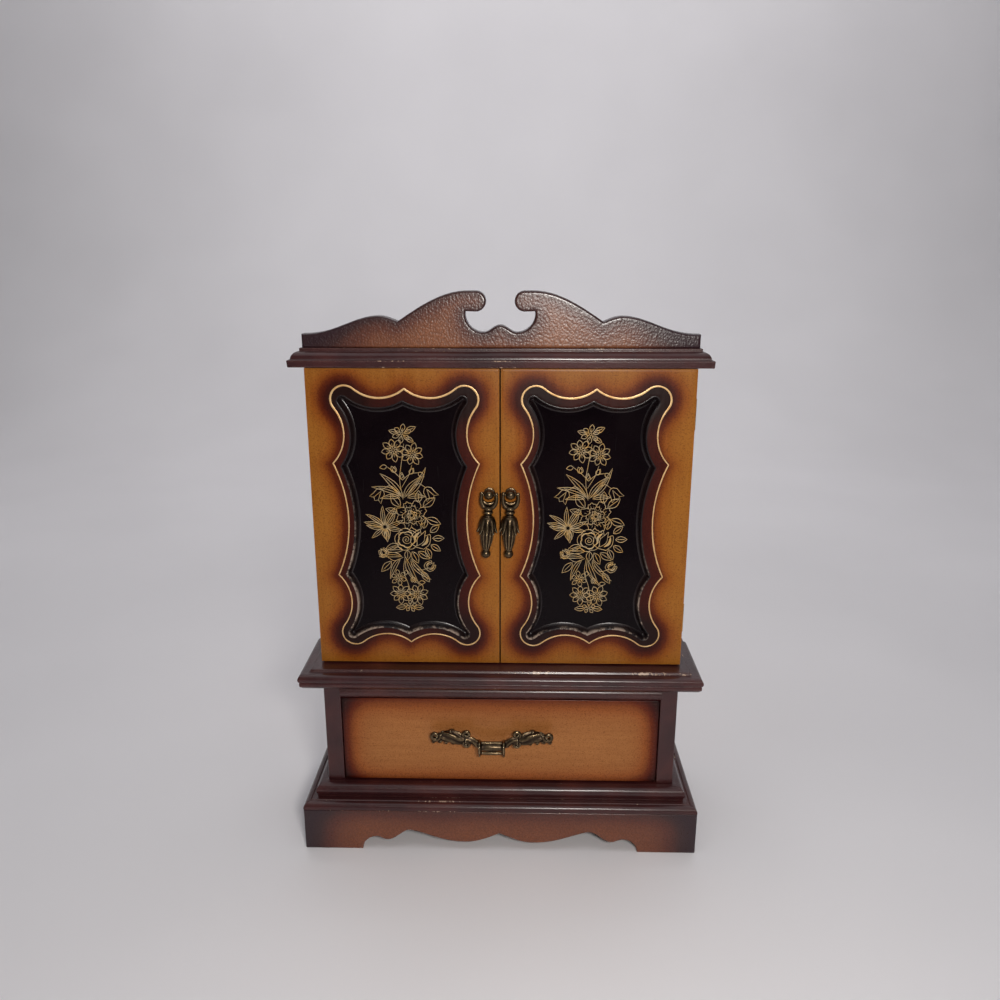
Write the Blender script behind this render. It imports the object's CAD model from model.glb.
"""The looks of the table-top jewelry armoire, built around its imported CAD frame.

Lengths are in millimetres until a mesh is made, and Blender's own coordinates are in metres.
+Z is up and the front faces -Y, as in the frame."""

import math

import bmesh
import bpy
import numpy as np
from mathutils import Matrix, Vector
from mathutils.geometry import delaunay_2d_cdt
from mathutils.noise import noise as smooth_noise


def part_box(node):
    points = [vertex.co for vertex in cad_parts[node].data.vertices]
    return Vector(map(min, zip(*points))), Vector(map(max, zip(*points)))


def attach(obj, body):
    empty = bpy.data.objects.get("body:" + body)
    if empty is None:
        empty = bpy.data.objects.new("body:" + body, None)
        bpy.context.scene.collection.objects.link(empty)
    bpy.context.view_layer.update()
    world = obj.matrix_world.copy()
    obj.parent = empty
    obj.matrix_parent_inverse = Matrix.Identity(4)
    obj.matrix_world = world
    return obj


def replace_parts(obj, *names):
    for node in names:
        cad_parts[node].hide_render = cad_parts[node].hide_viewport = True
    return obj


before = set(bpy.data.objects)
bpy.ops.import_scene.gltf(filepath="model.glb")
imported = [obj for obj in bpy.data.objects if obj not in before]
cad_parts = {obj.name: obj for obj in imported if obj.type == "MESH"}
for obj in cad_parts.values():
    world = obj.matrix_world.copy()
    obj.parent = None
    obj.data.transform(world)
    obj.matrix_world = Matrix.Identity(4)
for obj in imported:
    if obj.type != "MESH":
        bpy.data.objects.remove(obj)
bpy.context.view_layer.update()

MM = 0.001
SIDES = {"left": -1, "right": 1}
scene = bpy.context.scene
scene.view_settings.view_transform = "Standard"


def box_mm(node):
    """Lowest and highest corner of a CAD node, in millimetres."""
    low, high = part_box(node)
    return np.array(low) / MM, np.array(high) / MM


# ---- camera, light and world ----

SENSOR = 36.0
LENS = 0.85285 * SENSOR
CAMERA_AT = (0.011457, -0.563247, 0.399908)
CAMERA_PITCH = 15.743
CAMERA_YAW = 1.246
STUDIO_GREY = (0.63, 0.63, 0.645, 1)
STUDIO_POWER = 0.75
REFLECTED_POWER = 0.16


def link(obj):
    scene.collection.objects.link(obj)
    return obj


def make_camera():
    data = bpy.data.cameras.new("camera")
    data.sensor_width = SENSOR
    data.lens = LENS
    camera = link(bpy.data.objects.new("camera", data))
    camera.location = CAMERA_AT
    camera.rotation_euler = (math.radians(90 - CAMERA_PITCH), 0, math.radians(CAMERA_YAW))
    scene.camera = camera


def area_light(name, at, size, power, colour, target):
    data = bpy.data.lights.new(name, "AREA")
    data.shape = "RECTANGLE"
    data.size, data.size_y = size
    data.energy = power
    data.color = colour
    lamp = link(bpy.data.objects.new(name, data))
    lamp.location = at
    lamp.rotation_euler = (Vector(target) - Vector(at)).to_track_quat("-Z", "Y").to_euler()


def make_lights():
    area_light("front", (0.09, -0.6, 0.43), (0.1, 0.08), 2.4, (1.0, 0.96, 0.91), (0, 0, 0.24))
    area_light("ceiling", (0, -0.1, 1.6), (1.8, 1.6), 7.8, (0.98, 0.98, 1.0), (0, -0.1, 0))
    area_light("backdrop", (0, 0.75, 1.7), (2.2, 0.6), 14.5, (1.0, 0.985, 0.99), (0, 1.9, 0.75))


def make_world():
    """A pale grey seen by the camera, and a dimmer one that lights and is reflected."""
    world = bpy.data.worlds.new("studio")
    scene.world = world
    world.use_nodes = True
    tree = world.node_tree
    back = tree.nodes["Background"]
    back.inputs["Color"].default_value = STUDIO_GREY
    seen = tree.nodes.new("ShaderNodeLightPath")
    power = tree.nodes.new("ShaderNodeMapRange")
    power.inputs["To Min"].default_value = REFLECTED_POWER
    power.inputs["To Max"].default_value = STUDIO_POWER
    tree.links.new(seen.outputs["Is Camera Ray"], power.inputs["Value"])
    tree.links.new(power.outputs["Result"], back.inputs["Strength"])


# ---- shaders ----


def srgb(red, green, blue):
    """A linear colour from display values of 0 to 255."""
    parts = [c / 255 for c in (red, green, blue)]
    return tuple(c / 12.92 if c <= 0.04045 else ((c + 0.055) / 1.055) ** 2.4 for c in parts) + (1.0,)


WHITE, BLACK = (1, 1, 1, 1), (0, 0, 0, 1)
BARE_WOOD = srgb(178, 150, 128)


class Value:
    """A node's output, which can be added to, subtracted from and multiplied."""

    def __init__(self, shader, socket):
        self.shader = shader
        self.socket = socket

    def __add__(self, other):
        return self.shader.math("ADD", self, other)

    def __sub__(self, other):
        return self.shader.math("SUBTRACT", self, other)

    def __mul__(self, other):
        return self.shader.math("MULTIPLY", self, other)

    def clamped(self):
        """The same value, held between 0 and 1."""
        self.socket.node.use_clamp = True
        return self


class Shader:
    """A material with one Principled shader, whose nodes are added a call at a time."""

    def __init__(self, name, **constants):
        self.material = bpy.data.materials.new(name)
        self.material.use_nodes = True
        self.tree = self.material.node_tree
        self.bsdf = self.tree.nodes["Principled BSDF"].inputs
        for key, value in constants.items():
            self.bsdf[key.replace("_", " ")].default_value = value
        self.place = self.node("TexCoord", "Object", {})

    def put(self, socket, value):
        if isinstance(value, Value):
            self.tree.links.new(value.socket, socket)
        else:
            socket.default_value = value

    def node(self, kind, output, inputs, **settings):
        """A new node's output. Its inputs are given by name or number."""
        made = self.tree.nodes.new("ShaderNode" + kind)
        for key, value in settings.items():
            setattr(made, key, value)
        for key, value in inputs.items():
            self.put(made.inputs[key], value)
        return Value(self, made.outputs[output])

    def stretched(self, x, y, z):
        """Object coordinates scaled along each axis."""
        return self.node("Mapping", "Vector", {"Vector": self.place, "Scale": (x, y, z)})

    def noise(self, scale, detail=3.0, rough=0.5, at=None, distortion=0.0):
        inputs = {"Vector": at or self.place, "Scale": scale, "Detail": detail}
        return self.node("TexNoise", "Fac", inputs | {"Roughness": rough, "Distortion": distortion})

    def attribute(self, name):
        return self.node("Attribute", "Fac", {}, attribute_name=name)

    def math(self, operation, a, b=0.0):
        return self.node("Math", 0, {0: a, 1: b}, operation=operation)

    def ranged(self, value, low, high, out_low=0.0, out_high=1.0):
        """Value mapped from low..high to out_low..out_high, eased and clamped."""
        inputs = {"Value": value, "From Min": low, "From Max": high, "To Min": out_low, "To Max": out_high}
        return self.node("MapRange", "Result", inputs, interpolation_type="SMOOTHSTEP")

    def ramp(self, value, *stops):
        """A colour for each value, from (value, colour) stops."""
        made = self.node("ValToRGB", "Color", {"Fac": value})
        elements = made.socket.node.color_ramp.elements
        while len(elements) < len(stops):
            elements.new(0.5)
        for element, (where, colour) in zip(elements, stops):
            element.position = where
            element.color = colour
        return made

    def mix(self, share, a, b, mode="MIX"):
        """Colour a with a share of colour b."""
        return self.node("Mix", 2, {0: share, 6: a, 7: b}, data_type="RGBA", blend_type=mode)

    def chips(self, threshold):
        """Where lacquer has chipped off an edge: the edge attribute broken up by noise."""
        both = self.noise(420, 4.0, 0.65) * 0.6 + self.noise(38, 2.0) * 0.55
        return self.ranged(both * self.attribute("edge"), threshold, threshold + 0.05)

    def finish(self, colour, roughness, height=None, depth_mm=0.0):
        """The material, with a bump of a height from 0 to 1 that stands for depth_mm millimetres."""
        self.put(self.bsdf["Base Color"], colour)
        self.put(self.bsdf["Roughness"], roughness)
        if height is not None:
            inputs = {"Height": height, "Strength": 1.0, "Distance": depth_mm * MM}
            self.put(self.bsdf["Normal"], self.node("Bump", "Normal", inputs))
        return self.material


def honey_lacquer(name, grain_scale, light, mid, bare):
    """Sprayed tan lacquer over printed grain, shading to near black where the burst attribute rises."""
    s = Shader(name, Specular_IOR_Level=0.18, Coat_Weight=0.06, Coat_Roughness=0.2)
    streaks = s.noise(1.0, 4.0, 0.6, s.stretched(*grain_scale), 0.4)
    clouds = s.noise(28, 2.0)
    speckle = s.noise(1150, 2.0, 0.75)
    tan = s.ramp(streaks * 0.55 + clouds * 0.45, (0.28, mid), (0.68, light))
    tan = s.mix(s.ranged(speckle, 0.48, 0.72, 0.0, 0.6), tan, srgb(104, 60, 22))
    spray = (s.attribute("burst") + (clouds - 0.5) * 0.1 + (speckle - 0.5) * 0.16).clamped()
    halfway = [(0.25, srgb(228, 198, 172)), (0.5, srgb(158, 104, 78)), (0.72, srgb(104, 48, 36))]
    shade = s.ramp(spray, (0.0, WHITE), *halfway, (1.0, srgb(54, 27, 34)))
    worn = s.chips(0.66)
    colour = s.mix(1.0, tan, shade, "MULTIPLY")
    colour = s.mix(s.ranged(s.attribute("edge"), 0.2, 0.8, 0.0, 0.6), colour, bare)
    colour = s.mix(worn, colour, BARE_WOOD)
    rough = s.ranged(streaks, 0.2, 0.8, 0.3, 0.42)
    return s.finish(colour, rough, streaks * 0.5 + speckle * 0.25 - worn * 0.8, 0.035)


def dark_lacquer():
    """Burgundy brown lacquer, rubbed on its ridges and chipped to bare wood on its edges."""
    s = Shader("dark_lacquer", Specular_IOR_Level=0.3, Coat_Weight=0.45, Coat_Roughness=0.2)
    drift = s.noise(35, 3.0, 0.55)
    fine = s.noise(900, 3.0, 0.65)
    brushed = s.noise(1.0, 4.0, 0.6, s.stretched(60, 420, 420))
    colour = s.ramp(drift, (0.3, srgb(45, 16, 19)), (0.5, srgb(58, 23, 24)), (0.72, srgb(74, 32, 29)))
    rubbed = s.attribute("edge") * s.ranged(fine, 0.35, 0.7)
    colour = s.mix(rubbed * 0.25, colour, srgb(112, 78, 72))
    worn = s.chips(0.67)
    colour = s.mix(worn, colour, BARE_WOOD)
    rough = s.ranged(fine + rubbed * 0.4, 0.25, 1.0, 0.3, 0.5)
    return s.finish(colour, rough, fine * 0.9 + brushed * 0.35 - worn * 0.7, 0.17)


def recess_lacquer():
    """Near-black lacquer of the openings' walls, worn pale along the edges that stand out."""
    s = Shader("recess_lacquer", Specular_IOR_Level=0.3, Coat_Weight=0.2, Coat_Roughness=0.2)
    broken = s.noise(420, 4.0, 0.65)
    drift = s.noise(60)
    fine = s.noise(1500, 3.0, 0.6)
    worn = s.attribute("edge") * s.ranged(broken + drift, 0.78, 1.2)
    colour = s.ramp(drift, (0.3, srgb(16, 9, 12)), (0.7, srgb(30, 17, 16)))
    colour = s.mix(s.ranged(worn, 0.1, 0.75), colour, srgb(146, 128, 114))
    return s.finish(colour, s.ranged(fine + worn, 0.3, 1.2, 0.26, 0.6), fine + broken, 0.04)


def red_lacquer(name, pebble_mm, warm, deep):
    """Red-brown shaded lacquer; pebble_mm is the depth of its crackled surface."""
    s = Shader(name, Specular_IOR_Level=0.38, Coat_Weight=0.28, Coat_Roughness=0.18)
    packed = {"Vector": s.stretched(880, 880, 760), "Scale": 1.0}
    pebbles = s.node("TexVoronoi", "Distance", packed, feature="SMOOTH_F1")
    fine = s.noise(1300, 3.0, 0.6)
    spray = (s.attribute("burst") + (s.noise(30) - 0.5) * 0.22).clamped()
    colour = s.ramp(spray, (0.0, warm), (0.35, deep), (0.7, srgb(58, 32, 32)), (1.0, srgb(44, 22, 30)))
    colour = s.mix(s.ranged(pebbles, 0.15, 0.6, 0.0, 0.3), colour, srgb(44, 24, 22))
    colour = s.mix(s.chips(0.66), colour, BARE_WOOD)
    return s.finish(colour, s.ranged(fine, 0.3, 0.75, 0.26, 0.42), fine * 0.25 - pebbles, pebble_mm)


def black_gloss():
    """Black glass-like lacquer with dust, fine scratches and a faint wave."""
    s = Shader("black_gloss", Specular_IOR_Level=0.09)
    dust = s.ranged(s.noise(2600, 2.0, 0.7), 0.66, 0.74)
    film = s.noise(22, 3.0, 0.6)
    scratch = s.ranged(s.noise(1.0, 2.0, 0.5, s.stretched(900, 900, 40)), 0.68, 0.75)
    colour = s.ramp(film, (0.35, srgb(8, 3, 6)), (0.7, srgb(15, 7, 10)))
    colour = s.mix(dust * 0.2, colour, srgb(120, 110, 112))
    rough = s.ranged(film, 0.3, 0.7, 0.1, 0.2) + scratch * 0.12
    return s.finish(colour, rough, film + scratch * 0.1, 0.02)


def gilt(name, pale, rich, worn_to):
    """Gold paint laid on with a fine brush: pooled, streaked and thin in places."""
    s = Shader(name, Metallic=0.35, Specular_IOR_Level=0.5)
    pooled = s.noise(240, 3.0, 0.6)
    fine = s.noise(1800, 2.0, 0.6)
    thin = s.ranged(s.noise(520, 3.0, 0.65), 0.6, 0.72)
    colour = s.mix(thin * 0.45, s.ramp(pooled, (0.42, pale), (0.7, rich)), worn_to)
    return s.finish(colour, s.ranged(fine, 0.3, 0.7, 0.34, 0.5), pooled + fine * 0.4, 0.04)


def antique_brass():
    """Cast brass with dark patina in its hollows and bright rubbed ridges."""
    s = Shader("antique_brass", Metallic=1.0)
    stain = s.noise(330, 4.0, 0.6)
    fine = s.noise(1700, 3.0, 0.6)
    lit = (s.attribute("ridge") + (stain - 0.5) * 0.5).clamped()
    hollow = [(0.0, srgb(20, 15, 14)), (0.38, srgb(66, 54, 44))]
    colour = s.ramp(lit, *hollow, (0.64, srgb(122, 104, 78)), (1.0, srgb(226, 208, 170)))
    return s.finish(colour, s.ranged(lit, 0.1, 0.9, 0.48, 0.2), fine + stain, 0.03)


def bright_metal(name, dull, clean, scale):
    """Drawn or plated metal with fine scratches and dull patches."""
    s = Shader(name, Metallic=1.0)
    scratch = s.noise(1.0, 3.0, 0.6, s.stretched(*scale))
    colour = s.ramp(s.noise(260, 3.0, 0.6), (0.35, dull), (0.62, clean))
    return s.finish(colour, s.ranged(scratch, 0.3, 0.75, 0.2, 0.42), scratch, 0.01)


def velvet():
    """Cotton velvet: short pile that catches light at its edges, with brushed patches."""
    s = Shader("velvet", Specular_IOR_Level=0.15, Sheen_Weight=0.8, Sheen_Roughness=0.35)
    s.bsdf["Sheen Tint"].default_value = srgb(226, 110, 132)
    brushed = s.noise(60, 3.0, 0.6, None, 0.8)
    pile = s.noise(3200, 2.0, 0.7)
    colour = s.ramp(brushed, (0.3, srgb(74, 10, 26)), (0.52, srgb(104, 16, 36)), (0.72, srgb(132, 26, 48)))
    colour = s.mix(s.ranged(pile, 0.4, 0.75, 0.0, 0.35), colour, srgb(48, 6, 18))
    return s.finish(colour, s.ranged(brushed, 0.3, 0.7, 0.85, 1.0), pile + brushed * 0.6, 0.12)


def plain_wood(name, stretch):
    """Unfinished pale wood with long grain and pores."""
    s = Shader(name, Specular_IOR_Level=0.3)
    grain = s.noise(1.0, 5.0, 0.62, s.stretched(*stretch), 1.2)
    pores = s.ranged(s.noise(1.0, 2.0, 0.6, s.stretched(*[v * 7 for v in stretch])), 0.6, 0.72)
    dark, pale = srgb(146, 108, 70), srgb(206, 172, 128)
    colour = s.ramp(grain, (0.25, dark), (0.5, srgb(184, 146, 102)), (0.75, pale))
    colour = s.mix(pores * 0.5, colour, srgb(104, 72, 44))
    return s.finish(colour, s.ranged(grain, 0.2, 0.8, 0.62, 0.8), grain - pores, 0.08)


def dark_plastic():
    """Moulded plastic with a fine sparkle."""
    s = Shader("dark_plastic", Specular_IOR_Level=0.4)
    spark = s.noise(2400, 2.0, 0.6)
    colour = s.ramp(spark, (0.3, srgb(44, 40, 38)), (0.7, srgb(62, 57, 54)))
    return s.finish(colour, s.ranged(spark, 0.3, 0.7, 0.42, 0.58), spark, 0.03)


def floor_paint():
    """Pale paint. Far to the sides and behind the camera it fades into the studio's grey, unlit."""
    s = Shader("floor_paint", Specular_IOR_Level=0.25, Emission_Color=STUDIO_GREY)
    soft = s.noise(3, 2.0)
    across = s.node("SeparateXYZ", "X", {"Vector": s.place})
    along = s.node("SeparateXYZ", "Y", {"Vector": s.place})
    aside = s.ranged(s.math("ABSOLUTE", across), 1.35, 2.1)
    before = s.ranged(along * -1.0, 0.6, 1.5)
    faded = s.math("MAXIMUM", aside, before) * s.node("LightPath", "Is Camera Ray", {})
    s.put(s.bsdf["Emission Strength"], faded * STUDIO_POWER)
    colour = s.ramp(soft, (0.3, srgb(232, 230, 233)), (0.7, srgb(238, 236, 239)))
    return s.finish(s.mix(faded, colour, BLACK), s.ranged(soft, 0.3, 0.7, 0.5, 0.6))


def make_materials():
    """Every material, by name."""
    grain_up, grain_across = (420, 420, 26), (26, 420, 420)
    door_tan = (srgb(164, 105, 37), srgb(144, 87, 28), srgb(74, 52, 44))
    drawer_tan = (srgb(177, 117, 66), srgb(157, 99, 52), srgb(104, 66, 58))
    made = [
        honey_lacquer("door_lacquer", grain_up, *door_tan),
        honey_lacquer("drawer_lacquer", grain_across, *drawer_tan),
        dark_lacquer(),
        recess_lacquer(),
        red_lacquer("pediment_lacquer", 0.16, srgb(150, 92, 56), srgb(100, 54, 38)),
        red_lacquer("apron_lacquer", 0.05, srgb(136, 78, 48), srgb(97, 50, 37)),
        black_gloss(),
        gilt("gilt_line", srgb(222, 184, 130), srgb(206, 156, 96), srgb(136, 90, 52)),
        gilt("gilt_flowers", srgb(178, 158, 122), srgb(204, 158, 76), srgb(96, 78, 54)),
        antique_brass(),
        bright_metal("bright_brass", srgb(150, 120, 66), srgb(206, 172, 104), (300, 300, 2200)),
        bright_metal("steel", srgb(130, 130, 132), srgb(190, 191, 194), (900, 900, 900)),
        velvet(),
        plain_wood("plain_wood", (14, 260, 260)),
        plain_wood("back_wood", (200, 200, 12)),
        dark_plastic(),
    ]
    # The frame may already use a name, and Blender then adds a number to the new one.
    return {material.name.split(".")[0]: material for material in made}


MATERIALS = make_materials()


# ---- mesh helpers ----

EDGE_STEP = 0.8
FILLET_STEPS = 5
SUPPORT = 0.7
MOULDING_STEP = 2.0


def raw_mesh(name, points, faces):
    mesh = bpy.data.meshes.new(name)
    mesh.from_pydata(np.asarray(points, float).tolist(), [], faces)
    return mesh


def face_out(mesh):
    """Turn a closed mesh's faces so that their normals point out."""
    shell = bmesh.new()
    shell.from_mesh(mesh)
    bmesh.ops.recalc_face_normals(shell, faces=shell.faces)
    shell.to_mesh(mesh)
    shell.free()


def point_values(mesh, key, values):
    """A float attribute on the mesh's points, for its shader."""
    mesh.attributes.new(key, "FLOAT", "POINT").data.foreach_set("value", np.asarray(values, np.float32))


def placed(mesh, material, body):
    """The mesh as an object with its material, riding on its body."""
    mesh.materials.append(MATERIALS[material])
    obj = link(bpy.data.objects.new(mesh.name, mesh))
    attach(obj, body)
    return obj


def make_piece(name, points, faces, material, body, sharp, **attributes):
    """A mesh piece from points in millimetres, with float attributes on its points."""
    mesh = raw_mesh(name, np.asarray(points, float) * MM, faces)
    for key, values in attributes.items():
        point_values(mesh, key, values)
    face_out(mesh)
    mesh.shade_smooth()
    mesh.set_sharp_from_angle(angle=math.radians(sharp))
    return placed(mesh, material, body)


def fade(gap, reach, power=1.0):
    """1 at no gap, falling toward 0 as the gap passes reach. A rounding error below 0 counts as no gap."""
    return np.exp(-((np.maximum(gap, 0) / reach) ** power))


def hump(offset, reach):
    """1 at no offset, falling toward 0 on both sides as it passes reach."""
    return fade(np.abs(offset), reach, 2)


def units(vectors):
    """The vectors at length 1."""
    return vectors / np.maximum(np.linalg.norm(vectors, axis=1), 1e-12)[:, None]


def tube_faces(rows, count, closed=False):
    """Faces of rows of points round a section. The rows make a ring if closed, or else each end has a cap."""
    faces = []
    for i in range(rows if closed else rows - 1):
        a, b = i * count, (i + 1) % rows * count
        faces += [[a + k, a + (k + 1) % count, b + (k + 1) % count, b + k] for k in range(count)]
    return faces if closed else faces + [list(range(count)), list(range((rows - 1) * count, rows * count))]


def rectangle(low, high, margin=0.0):
    """The front of a box as an outline in X and Z, grown by a margin."""
    x0, z0, x1, z1 = low[0] - margin, low[2] - margin, high[0] + margin, high[2] + margin
    return np.array([(x0, z0), (x1, z0), (x1, z1), (x0, z1)])


def subdivided(loop, step):
    """A closed outline with points added so that none is more than step from the next."""
    parts = []
    for p, q in zip(loop, np.roll(loop, -1, axis=0)):
        count = max(1, math.ceil(np.linalg.norm(q - p) / step - 1e-6))
        parts.append(p + (q - p) * np.arange(count)[:, None] / count)
    return np.vstack(parts)


def distance_to(points, loops, closed=True):
    """Distance from each point to the nearest outline, or to the nearest open line."""
    best = np.full(len(points), 1e9)
    for loop in loops:
        ends = np.roll(loop, -1, axis=0) if closed else loop[1:]
        for p, q in zip(loop, ends):
            run = q - p
            share = np.clip((points - p) @ run / max(run @ run, 1e-12), 0, 1)
            gap = points - p - share[:, None] * run
            best = np.minimum(best, np.hypot(gap[:, 0], gap[:, 1]))
    return best


def is_inside(points, loops):
    """Which points lie inside the first outline and outside the others."""
    crossings = np.zeros(len(points), int)
    for loop in loops:
        for p, q in zip(loop, np.roll(loop, -1, axis=0)):
            spans = (p[1] > points[:, 1]) != (q[1] > points[:, 1])
            rise = q[1] - p[1] if q[1] != p[1] else 1.0
            where = p[0] + (points[:, 1] - p[1]) * (q[0] - p[0]) / rise
            crossings += spans & (points[:, 0] < where)
    return crossings % 2 == 1


def inward(loop):
    """Unit normals on the left of a closed outline, averaged at each point."""
    run = units(np.roll(loop, -1, axis=0) - loop)
    mean = units(run + np.roll(run, 1, axis=0))
    return np.stack([-mean[:, 1], mean[:, 0]], axis=1)


def triangles(points, loops):
    """Delaunay triangles between points, kept inside the outlines. The outlines' points come first."""
    edges, start = [], 0
    for loop in loops:
        ring = np.arange(len(loop)) + start
        edges += list(zip(ring.tolist(), np.roll(ring, -1).tolist()))
        start += len(loop)
    out = delaunay_2d_cdt([Vector(p) for p in points], edges, [], 0, 1e-6)
    where = np.array(out[0])
    faces = np.array([f for f in out[2] if len(f) == 3])
    return where, faces[is_inside(where[faces].mean(axis=1), loops)]


def wound(loops):
    """Outlines with the outer one counter-clockwise and the holes clockwise."""
    made = []
    for i, loop in enumerate(loops):
        loop = np.asarray(loop, float)
        x, z = loop[:, 0], loop[:, 1]
        area = (x * np.roll(z, -1) - np.roll(x, -1) * z).sum()
        made.append(loop[::-1] if (area > 0) == (i > 0) else loop)
    return made


def board(outlines, front, back, step, round_r, grain_mm=0.0):
    """Points, faces and edge distances of an upright board with rounded front edges.

    The outlines are in X and Z. The front is a fine net of triangles, so that it can carry shading;
    grain_mm lets it rise and fall a little, as a hand-finished surface does."""
    loops = [subdivided(loop, EDGE_STEP) for loop in wound(outlines)]
    rings = [(loop, share * round_r) for loop in loops for share in (0.1, 0.3, 0.6, 1.0)]
    extra = np.vstack([loop + inward(loop) * inset for loop, inset in rings])
    wanted = np.concatenate([np.full(len(loop), inset) for loop, inset in rings])
    low, high = loops[0].min(axis=0), loops[0].max(axis=0)
    columns, rows = np.arange(low[0], high[0], step), np.arange(low[1], high[1], step)
    net = np.stack(np.meshgrid(columns, rows), axis=-1)
    net[1::2, :, 0] += step / 2
    net = net.reshape(-1, 2)
    extra = extra[(distance_to(extra, loops) > wanted * 0.96) & is_inside(extra, loops)]
    far = (distance_to(net, loops) > round_r + step * 0.55) & is_inside(net, loops)
    flat, faces = triangles(np.vstack(loops + [extra, net[far]]), loops)
    depth = distance_to(flat, loops)
    sunk = np.clip(round_r - depth, 0, round_r)
    y = front + round_r - np.sqrt(np.maximum(round_r**2 - sunk**2, 0))
    if grain_mm:
        lift = [smooth_noise(Vector((x * 0.9, z * 0.9, 0))) for x, z in flat]
        y += grain_mm * np.array(lift) * np.clip(depth, 0, 1)
    rear = np.vstack(loops)
    behind = np.stack([rear[:, 0], np.full(len(rear), back), rear[:, 1]], axis=1)
    points = np.vstack([np.stack([flat[:, 0], y, flat[:, 1]], axis=1), behind])
    faces = faces[:, ::-1].tolist()
    base, start = len(flat), 0
    for loop in loops:
        ring = [start + i for i in range(len(loop))]
        faces += [[i, j, base + j, base + i] for i, j in zip(ring, ring[1:] + ring[:1])]
        start += len(loop)
    faces += (triangles(rear, loops)[1] + base).tolist()
    return points, faces, np.concatenate([depth, np.zeros(len(rear))])


def filleted(*corners):
    """A profile with its corners rounded, and its edge weights. Each corner is (out, z, radius)."""
    line, weight = [np.array(corners[0][:2], float)], [0.0]
    for before, here, after in zip(corners, corners[1:], corners[2:]):
        p, c, q = (np.array(v[:2], float) for v in (before, here, after))
        near, far = np.linalg.norm(p - c), np.linalg.norm(q - c)
        u, w = (p - c) / near, (q - c) / far
        half = math.acos(np.clip(u @ w, -1, 1)) / 2
        reach = min(here[2] / math.tan(half), 0.45 * near, 0.45 * far)
        r = reach * math.tan(half)
        middle = c + (u + w) / np.linalg.norm(u + w) * r / math.sin(half)
        sharp = r < 1.0
        if sharp and near > 2.4 * (reach + SUPPORT):
            line.append(c + u * (reach + SUPPORT))
            weight.append(0.0)
        for t in np.arange(FILLET_STEPS + 1) / FILLET_STEPS:
            spoke = (c + u * reach - middle) * (1 - t) + (c + w * reach - middle) * t
            line.append(middle + spoke / np.linalg.norm(spoke) * r)
            weight.append(float(sharp))
        if sharp and far > 2.4 * (reach + SUPPORT):
            line.append(c + w * (reach + SUPPORT))
            weight.append(0.0)
    return np.array([*line, corners[-1][:2]], float), np.array([*weight, 0.0])


def arc(centre, radius, start, end, steps=10):
    """Points of an arc, its angles in degrees."""
    turns = np.radians(np.linspace(start, end, steps + 1))
    return np.array(centre) + radius * np.stack([np.cos(turns), np.sin(turns)], axis=1)


def wobble(points, size, scale, seed):
    """The points with the slow unevenness of a hand-run moulding, in millimetres."""
    moved = []
    for x, y, z in points:
        x, y, z = (x + seed) * scale, y * scale, z * scale
        moved.append([size * smooth_noise(Vector((x, y, z + k * 17))) for k in range(3)])
    return points + np.array(moved)


def moulding(name, half, front, back, *stretches):
    """A closed moulding that runs up one side, across the front and down the other, mitred at the corners.

    The stretches join into its profile, as half width and height, from the bottom inside to the top."""
    line, edge = joined(*stretches)
    columns = max(2, int(2 * half / MOULDING_STEP))
    sides = max(2, int((back - front) / MOULDING_STEP))
    points = []
    for out, z in line:
        y = front + half - out
        points += [(-out, back + (y - back) * i / sides, z) for i in range(sides)]
        points += [(-out + 2 * out * i / columns, y, z) for i in range(columns)]
        points += [(out, y + (back - y) * i / sides, z) for i in range(sides + 1)]
    count = 2 * sides + columns + 1
    points = wobble(np.array(points), UNEVEN, 0.03, half)
    faces = tube_faces(len(line), count)
    return make_piece(name, points, faces, "dark_lacquer", "case", 32, edge=np.repeat(edge, count))


def joined(*profiles):
    """Profiles end to end, with their edge weights."""
    return np.vstack([line for line, _ in profiles]), np.concatenate([edge for _, edge in profiles])


def plain(*points):
    """A profile stretch without sharp edges."""
    return np.array(points, float), np.zeros(len(points))


# ---- places taken from the frame ----

PLINTH = box_mm("apron_front")
LOWER_BASE = box_mm("base_lower_board")
UPPER_BASE = box_mm("base_upper_board")
WAIST = box_mm("waist_board")
RAIL = box_mm("drawer_rail")
CORNICE = box_mm("cornice_board")
PEDIMENT = box_mm("pediment")
DRAWER = box_mm("drawer_front")
DOORS = {"left": box_mm("door_board_left"), "right": box_mm("door_board_right")}


def spans(box):
    """A box's half width, front, back, bottom and top."""
    return box[1][0], box[0][1], box[1][1], box[0][2], box[1][2]


# ---- mouldings ----

UNEVEN = 0.12


def make_lower_base():
    """The bead that caps the plinth."""
    half, front, back, low, high = spans(LOWER_BASE)
    r = 3.7
    return moulding(
        "base_lower_moulding", half, front, back,
        plain((half - 9, low)),
        filleted((half - 9, low), (half - 0.1, low, 0.5), (half - 0.1, low + 0.9)),
        plain(*arc((half - r, high - 0.1 - r), r, -6, 84)),
        filleted(
            (half - 4, high - 0.1), (half - 4.6, high - 0.6, 0.3), (half - 5.4, high, 0.3), (half - 20, high)
        ),
    )


def make_upper_base():
    """The round-nosed board under the drawer."""
    half, front, back, low, high = spans(UPPER_BASE)
    r = 4.7
    return moulding(
        "base_upper_moulding", half, front, back,
        plain((half - 12, low)),
        filleted((half - 12, low), (half - 1.0, low, 0.4), (half - 0.9, low + 1.2)),
        plain(*arc((half - r, low + 0.1 + r), r, -36, 90, 14)),
        filleted((half - r - 0.6, high - 0.1), (half - r - 1.4, high, 0.3), (half - 22, high)),
    )


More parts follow.
